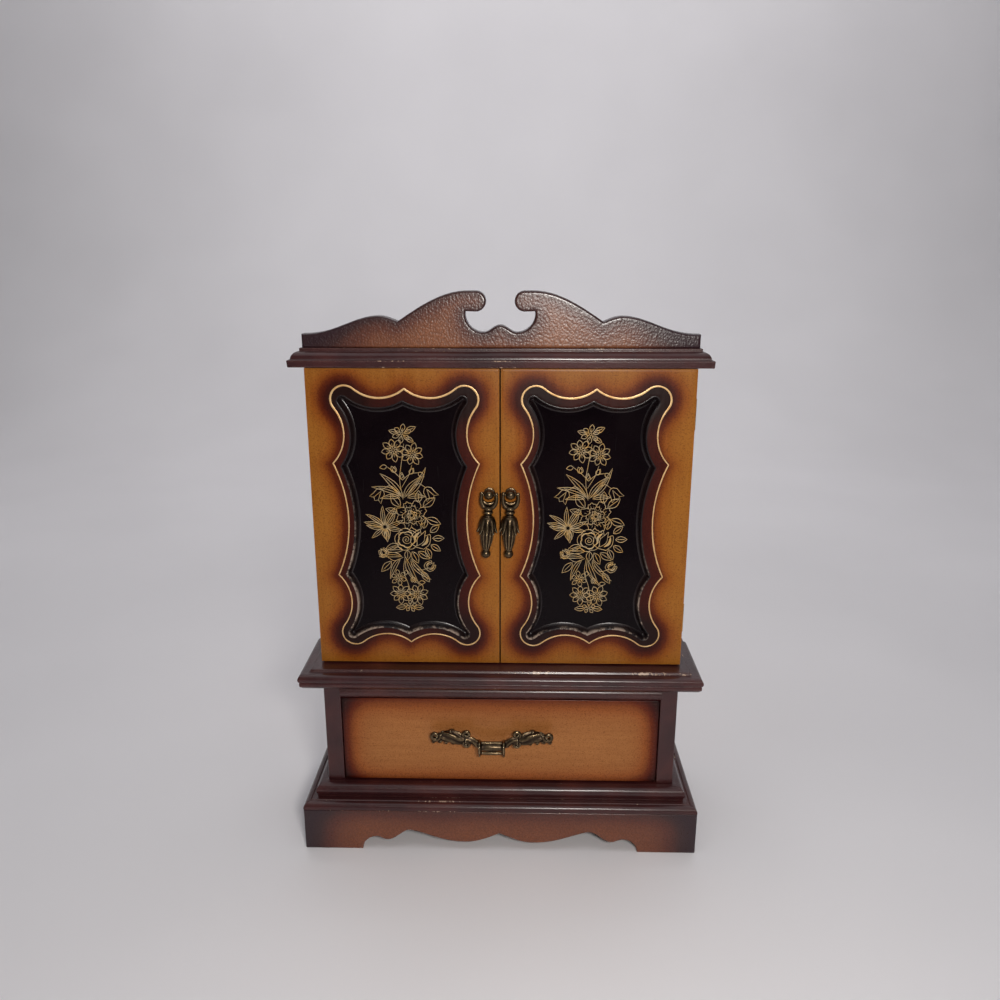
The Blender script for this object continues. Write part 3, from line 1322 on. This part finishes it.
def pendant_parts():
    """The pull's hanging drop about its pivot: yoke, collar, leafy bell, fluted taper and ball."""
    path = arm_path((0.8, -9), (3.1, -7.6), (4.5, -5), (4.9, -2.2), (4.6, 0.2))
    arm = swept(path, [1.5, 1.6, 1.4, 1.2, 1.0], squash=1.2)
    parts = both_sides(arm) + both_sides(ball((4.65, 0, 0.6), 1.3))
    web = np.array([(4.3 * math.cos(a), 0, 4.1 * math.sin(a) - 1.9) for a in np.linspace(3.5, 5.93, 26)])
    parts.append(swept(web, [0.6, 1.0, 1.3, 1.0, 0.6]))
    collar = [(0.2, -7.6), (2.6, -7.8), (3.3, -8.6), (3.2, -9.4), (2.5, -10.0), (2.4, -10.4), (3.2, -10.9),
              (3.4, -11.5), (3.2, -12.1), (2.3, -12.7), (2.2, -13.1), (2.9, -13.7), (3.0, -14.2), (0.2, -15)]
    parts.append(lathe(collar))
    bell = [(2.8, -13.8)]
    bell += [(3.0 + 2.7 * math.sin(math.pi / 2 * t**0.5), -14.2 - 9.6 * t) for t in np.linspace(0, 1, 34)]
    bell += [(4.6, -23.2), (3.4, -21.5)]
    parts.append(lathe(bell, count=110, shape=bell_shape))
    taper = [(4.1, -18), (4.5, -22), (4.5, -26), (4.1, -29.6), (3.3, -33.2), (2.4, -36.2), (1.7, -38)]
    fine = np.stack([np.interp(np.linspace(0, 6, 40), range(7), line) for line in zip(*taper)], axis=1)
    parts.append(lathe(fine, count=80, shape=fluted))
    parts.append(lathe([(0.5, -36), (2.3, -36.2), (2.4, -36.7), (1.8, -37.2), (0.5, -37.4)]))
    parts.append(ball((0, 0, -39.6), 3.1))
    return parts


def petalled(turns, radius, height, t):
    """Nine shallow petals round the rosette's rim."""
    return radius * (1 - 0.05 * (radius > 2.6) * (0.5 + 0.5 * np.cos(9 * turns))), height


def make_door_pulls():
    """Each door's rosette and knob, and the drop that hangs from it a little off plumb."""
    for side, tilt in (("left", 3.2), ("right", 1.8)):
        low, high = box_mm(f"pull_screw_{side}")
        pivot = ((low[0] + high[0]) / 2, DOORS[side][0][1] - PIVOT_OUT, (low[2] + high[2]) / 2)
        drop = fuse(f"pull_drop_{side}", pendant_parts(), 0.2, f"pull_{side}", pivot, 3.3, tilt)
        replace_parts(drop, f"pendant_{side}")
        rim = [(0.2, -0.05), (3.7, -0.05), (3.9, -0.5), (3.5, -1.1), (2.9, -1.2)]
        neck = [(2.3, -1.5), (1.7, -2.1), (1.6, -3), (1.6, -5)]
        rosette = moved(lathe(rim + neck, "y", 72, petalled), (0, PIVOT_OUT, 0))
        parts = [rosette, ball((0, 0, 0), 3.05), lathe([(0.65, -4.9), (0.65, 4.9)], "x", 24)]
        post = fuse(f"pull_knob_{side}", parts, 0.18, f"door_{side}", pivot)
        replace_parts(post, f"pull_post_{side}")


def spiral(centre, radius, start, turns, y, thick, climb):
    """A curled tendril in X and Z that winds in to its centre and climbs toward the front."""
    t = np.linspace(0, 1, 46)
    a = math.radians(start) + turns * 2 * np.pi * t
    r = radius * (1 - 0.82 * t)
    path = np.stack([centre[0] + r * np.cos(a), y - climb * t, centre[1] + r * np.sin(a)], axis=1)
    return swept(path, [thick, thick * 0.95, thick * 0.8, thick * 0.9], 16)


def leaf_tip(line, at, turn, y, thick):
    """One of the short rounded tips along the edge of a cast leaf."""
    return swept(arm_path(*turned(line, at, turn), y=y), [thick, thick - 0.2, 0.6], 18, squash=0.8)


def leaf_parts(y):
    """The right-hand leaf of the drawer pull: a fluted body, curled tendrils, edge tips and the arm."""
    body = arm_path((17.5, 0.4), (22, -0.6), (27, 0.6), (32, 0.9), (36.5, 1.4), y=y, steps=14)
    parts = [swept(body, [2.8, 4.6, 5.0, 4.7, 4.0, 2.8], 56, 5, 0.24, 1.3, 0.66)]
    parts.append(spiral((38.6, 1.8), 3.7, 160, 1.2, y - 0.6, 1.6, 0.9))
    parts.append(spiral((17, 3.0), 2.7, -60, 1.2, y - 0.6, 1.35, 1.0))
    parts.append(spiral((16.8, -4.2), 2.7, 60, -1.2, y - 0.6, 1.3, 1.0))
    below = [(22, -3.6, 250), (26.5, -4.2, 262), (31, -3.8, 272), (35.2, -3.3, 285), (39.5, -3.4, 280)]
    for x, z, turn in below:
        parts.append(leaf_tip([(0, 0), (1.5, 0.2), (3.0, 0)], (x, z + 1.6), turn, y, 1.9))
    for x, z, turn in [(23, 3.6, 105), (28.5, 4.2, 95), (33.5, 4.0, 80)]:
        parts.append(leaf_tip([(0, 0), (1.2, 0.1), (2.3, 0)], (x, z - 1.2), turn, y, 1.7))
    arm = arm_path((18, -0.6), (14.5, -0.9), (11.5, -2.6), (9.2, -4.6), y=y - 1.4, steps=10)
    return parts + [swept(arm, [2.6, 2.6, 2.5, 3.2], 36, 5, 0.2, 0.6, 0.8)]


def drawer_pull_parts(leaf_y, spool_y, wall_y):
    """Half of the drawer pull is made on the right and mirrored; the spool lies across the middle."""
    half = leaf_parts(leaf_y)
    flange = [(0.3, -0.95), (4.4, -0.95), (5.1, -0.7), (5.5, 0), (5.1, 0.7), (4.4, 0.95), (0.3, 0.95)]
    half.append(moved(lathe(flange, "x", 48), (8.3, spool_y, -6.0)))
    bead = [(0.3, -0.8), (2.2, -0.7), (2.6, 0), (2.2, 0.7), (0.3, 0.8)]
    half.append(moved(lathe(bead, "x", 32), (8.3, spool_y, -10.8)))
    post = [(0.3, 0), (3.0, 0), (3.0, -0.6), (2.4, -1.4), (2.1, -2.6), (2.1, -5), (2.4, -7)]
    half.append(moved(lathe(post, "y", 48), (28, wall_y, 0)))
    parts = [twin for part in half for twin in both_sides(part)]
    bar = [(0.3, -8.4), (2.6, -8.4), (2.8, -7.2), (2.3, -6.6), (2.4, -5), (2.6, -3.6), (2.8, -1.6), (2.8, 0)]
    bar += [(r, -h) for r, h in bar[:-1]][::-1]
    low = [(0.3, -8.4), (1.3, -8.4), (1.15, -6), (1.35, 0), (1.15, 6), (1.3, 8.4), (0.3, 8.4)]
    top = [(0.3, -8.4), (1.2, -8.4), (1.05, 0), (1.2, 8.4), (0.3, 8.4)]
    for profile, count, z in ((bar, 40, -5.8), (low, 28, -10.4), (top, 28, -2.6)):
        parts.append(moved(lathe(profile, "x", count), (0, spool_y, z)))
    return parts


def make_drawer_pull():
    """The cast drawer pull, flat where it meets the drawer's face."""
    low, high = box_mm("drawer_pull")
    wall = DRAWER[0][1]
    parts = drawer_pull_parts(wall - 6.8, wall - 9.2, wall - 0.02)
    place = ((low[0] + high[0]) / 2, 0, PULL_Z)
    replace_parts(fuse("drawer_bail", parts, 0.27, "drawer", place, wall - 0.02), "drawer_pull")


# ---- velvet ----

PAD_STEP = 2.0
FLOORS = (134.1, 204.1, 271.1)
CEILINGS = (200.1, 267.1)
CLOTH_SCALE = 0.02
PRESSURE = 3.0


def pad(name, low, high, axis, body, round_mm, seed=0, lumps=0.08):
    """A thin velvet-covered card or pad between two corners: rounded edges and a slightly uneven face."""
    low, high = np.array(low, float), np.array(high, float)
    flat = [k for k in range(3) if k != axis]
    size = (high - low)[flat]
    lines = []
    for length in size:
        t = np.linspace(0, 1, max(4, int(length / PAD_STEP)) + 1)
        lines.append(length * (0.175 * (1 - np.cos(np.pi * t)) + 0.65 * t))
    u, v = np.meshgrid(*lines, indexing="ij")
    away = np.minimum(np.minimum(u, size[0] - u), np.minimum(v, size[1] - v))
    rounding = np.sqrt(np.clip(1 - (1 - np.clip(away / round_mm, 0, 1)) ** 2, 0, 1))
    places = zip(u.ravel(), v.ravel())
    bumpy = np.array([smooth_noise(Vector((a * 0.07 + seed, b * 0.07, seed))) for a, b in places])
    lift = ((high - low)[axis] / 2 - lumps * (0.5 + 0.5 * bumpy.reshape(u.shape))) * rounding
    rows, columns = u.shape
    grid, points, faces = {}, [], []
    for layer in (-1, 1):
        for i, j in np.ndindex(rows, columns):
            if layer > 0 and (i in (0, rows - 1) or j in (0, columns - 1)):
                grid[layer, i, j] = grid[-1, i, j]
                continue
            p = np.zeros(3)
            p[flat] = low[flat] + (u[i, j], v[i, j])
            p[axis] = (low + high)[axis] / 2 + layer * lift[i, j]
            grid[layer, i, j] = len(points)
            points.append(p)
        for i, j in np.ndindex(rows - 1, columns - 1):
            corners = ((i, j), (i + 1, j), (i + 1, j + 1), (i, j + 1))
            faces.append([grid[layer, a, b] for a, b in corners])
    made = make_piece(name, points, faces, "velvet", body, 60)
    return made


def make_linings():
    """Velvet on the shelves, the backs, the doors' insides and the drawer."""
    low, high = box_mm("shelf_pads")
    for k, z in enumerate(FLOORS):
        made = pad(f"shelf_pad_{k + 1}", (low[0], low[1], z), (high[0], high[1], z + 1.0), 2, "case", 0.7, k)
        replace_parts(made, "shelf_pads")
    low, high = box_mm("back_linings")
    shelf = box_mm("shelves")
    for k, (z0, z1) in enumerate(zip(FLOORS, (*CEILINGS, high[2]))):
        corner = (shelf[1][0], high[1], z1)
        made = pad(f"back_lining_{k + 1}", (low[0], low[1], z0), corner, 1, "case", 0.6, 10 + k, 0.05)
        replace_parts(made, "back_linings")
    made = pad("back_lining_hanging", (-shelf[1][0], low[1], low[2]), high, 1, "case", 0.6, 14, 0.05)
    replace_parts(made, "back_linings")
    for side in SIDES:
        low, high = box_mm(f"door_backing_{side}")
        made = pad(f"door_pad_{side}", low, high, 1, f"door_{side}", 2.4, 20 + SIDES[side], 0.25)
        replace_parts(made, f"door_backing_{side}")
    low, high = box_mm("drawer_lining")
    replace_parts(pad("drawer_floor_velvet", low, high, 2, "drawer", 0.6, 30), "drawer_lining")
    low, high = box_mm("drawer_divider")
    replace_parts(pad("drawer_divider_velvet", low, high, 1, "drawer", 1.4, 32, 0.12), "drawer_divider")


def puffed(points, faces, voxel, cap):
    """A closed cover swollen by cloth simulation, each point by at most cap millimetres.

    The cloth is simulated at twenty times its size; returns points and faces in millimetres."""
    cover = link(bpy.data.objects.new("cover", raw_mesh("cover", points * CLOTH_SCALE, faces)))
    remeshed(cover, voxel * CLOTH_SCALE)
    start = bpy.data.meshes.new_from_object(evaluated(cover))
    cover.modifiers.clear()
    cover.data = start
    rest = co = vectors(start)
    cloth = cover.modifiers.new("cloth", "CLOTH")
    cloth.settings.use_pressure = True
    cloth.settings.uniform_pressure_force = PRESSURE
    cloth.settings.effector_weights.gravity = 0
    cloth.point_cache.frame_start = 1
    cloth.point_cache.frame_end = 20
    for number in range(1, 21):
        scene.frame_set(number)
    step = vectors(evaluated(cover).to_mesh()) - rest
    far = np.linalg.norm(step, axis=1)
    co = rest + step * np.minimum(1, cap * CLOTH_SCALE / np.maximum(far, 1e-9))[:, None]
    scene.frame_set(1)
    shapes = [list(p.vertices) for p in start.polygons]
    bpy.data.objects.remove(cover)
    return co / CLOTH_SCALE, shapes


def make_ring_rolls():
    """Four padded velvet rolls: one is sewn and swollen, and laid four times."""
    low, high = box_mm("ring_rolls")
    r = (high[2] - low[2]) / 2
    pitch = (high[1] - low[1] - 2 * r) / 3
    length = high[0] - low[0]
    sewn = r - 0.45
    rows = np.linspace(0, 1, 60)
    seam = 1 - 0.13 * np.abs(np.cos(rows * np.pi * 9)) ** 12
    closing = np.sqrt(np.clip(1 - (np.abs(2 * rows - 1)) ** 26, 0.02, 1))
    profile = [(sewn * s * c, length * (t - 0.5) * 0.985) for s, c, t in zip(seam, closing, rows)]
    points, faces = lathe(profile, "x", 28)
    points, faces = puffed(points, faces, 1.05, 0.45)
    reach = np.abs(points).max(axis=0)
    points *= np.minimum(1, np.array([length / 2, r, r]) / reach)
    middle = np.array([(low[0] + high[0]) / 2, low[1] + r, (low[2] + high[2]) / 2])
    for k in range(4):
        there = points + middle + (0, pitch * k, 0)
        made = make_piece(f"ring_roll_{k + 1}", there, faces, "velvet", "drawer", 80)
        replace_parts(made, "ring_rolls")


def make_pouch():
    """The velvet trough under the hooks: gathered walls, a rolled lip that sags in the middle."""
    low, high = box_mm("necklace_pouch")
    wall = 1.8
    count, rows = 160, 22
    middle = (low + high) / 2
    half = (high - low) / 2
    turns = 2 * np.pi * np.arange(count) / count

    def ring(inset, t):
        """A rounded rectangle at a share t of the height."""
        corner = 5.0
        a, b = half[0] - inset - corner, half[1] - inset - corner
        x = np.clip(np.cos(turns) * 60, -a, a) + corner * np.cos(turns)
        y = np.clip(np.sin(turns) * 60, -b, b) + corner * np.sin(turns)
        gather = 0.35 * np.sin(26 * turns) * t**0.7 * (1 if inset < 1 else 0.6)
        front = np.clip(-np.sin(turns), 0, 1)
        y = y + gather * np.sign(np.sin(turns))
        sag = 2.6 * t**3 * front * np.clip(1 - (x / half[0]) ** 2, 0, 1)
        z = low[2] + 0.1 + (high[2] - low[2] - 0.6) * t - sag
        keep = np.clip(y, -half[1] + 0.05, half[1] - 0.05)
        return np.stack([middle[0] + x, middle[1] + keep, z], axis=1)

    outer = [ring(0.4, t) for t in np.linspace(0, 1, rows)]
    lip = [ring(0.4 + wall / 2, 1.0) + (0, 0, 0.45)]
    inner = [ring(wall + 0.2, t) for t in np.linspace(1, 2.0 / half[2] / 2, rows)]
    points = np.vstack(outer + lip + inner)
    faces = tube_faces(2 * rows + 1, count)
    made = make_piece("necklace_pouch_velvet", points, faces, "velvet", "case", 70)
    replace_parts(made, "necklace_pouch")


# ---- CAD nodes that stay ----

CARRIED = {
    "dark_lacquer": (0.5, [
        "plinth_sides", "plinth_back", "lower_side_left", "lower_side_right", "upper_side_left",
        "upper_side_right", "cabinet_divider", "shelves", "hook_rail",
    ]),
    "door_lacquer": (0.25, ["door_board_left", "door_board_right"]),
    "black_gloss": (0.1, ["door_panel_left", "door_panel_right"]),
    "plain_wood": (0.3, [
        "glue_blocks", "drawer_runners", "pediment_dowels", "drawer_sides", "drawer_back", "drawer_bottom",
    ]),
    "back_wood": (0.25, ["lower_back", "upper_back"]),
    "bright_brass": (0.08, [
        "necklace_hooks", "hinge_case_leaves", "hinge_door_leaves_left", "hinge_door_leaves_right",
        "hinge_case_screws", "hinge_door_screws_left", "hinge_door_screws_right", "hinge_pins",
    ]),
    "steel": (0.08, [
        "catch_magnets", "strike_plate_left", "strike_plate_right", "back_panel_pins",
        "pull_screw_left", "pull_screw_right", "drawer_pull_screws",
    ]),
    "dark_plastic": (0.3, ["catch_housing"]),
}


def finish_frame():
    """Materials and softened edges for the CAD nodes that stay in view."""
    for material, (width, nodes) in CARRIED.items():
        for name in nodes:
            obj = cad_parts[name]
            obj.data.materials.clear()
            obj.data.materials.append(MATERIALS[material])
            soften = obj.modifiers.new("soft edges", "BEVEL")
            soften.width = width * MM
            soften.segments = 3
            soften.limit_method = "ANGLE"
            soften.angle_limit = math.radians(40)
            soften.harden_normals = False


# ---- floor ----


def make_floor():
    """A pale floor that curves up into a wall well behind the armoire."""
    half, near, bend, far, tall = 5.0, -5.0, 1.0, 1.9, 2.4
    turns = np.linspace(0, math.pi / 2, 16)
    r = far - bend
    line = [(near, 0.0)] + [(bend + r * math.sin(a), r - r * math.cos(a)) for a in turns] + [(far, tall)]
    points = [(x, y, z) for y, z in line for x in (-half, half)]
    faces = [[2 * i, 2 * i + 1, 2 * i + 3, 2 * i + 2] for i in range(len(line) - 1)]
    mesh = raw_mesh("floor", points, faces)
    mesh.shade_smooth()
    mesh.materials.append(floor_paint())
    link(bpy.data.objects.new("floor", mesh))


make_camera()
make_lights()
make_world()
make_floor()
make_mouldings()
make_pediment()
make_apron()
FLOWERS = bouquet()
for door_side in SIDES:
    make_door_face(door_side)
    make_recess_wall(door_side)
    make_gold_line(door_side)
    make_bouquet(door_side, FLOWERS)
make_drawer_front()
make_stiles()
make_door_pulls()
make_drawer_pull()
make_linings()
make_ring_rolls()
make_pouch()
finish_frame()
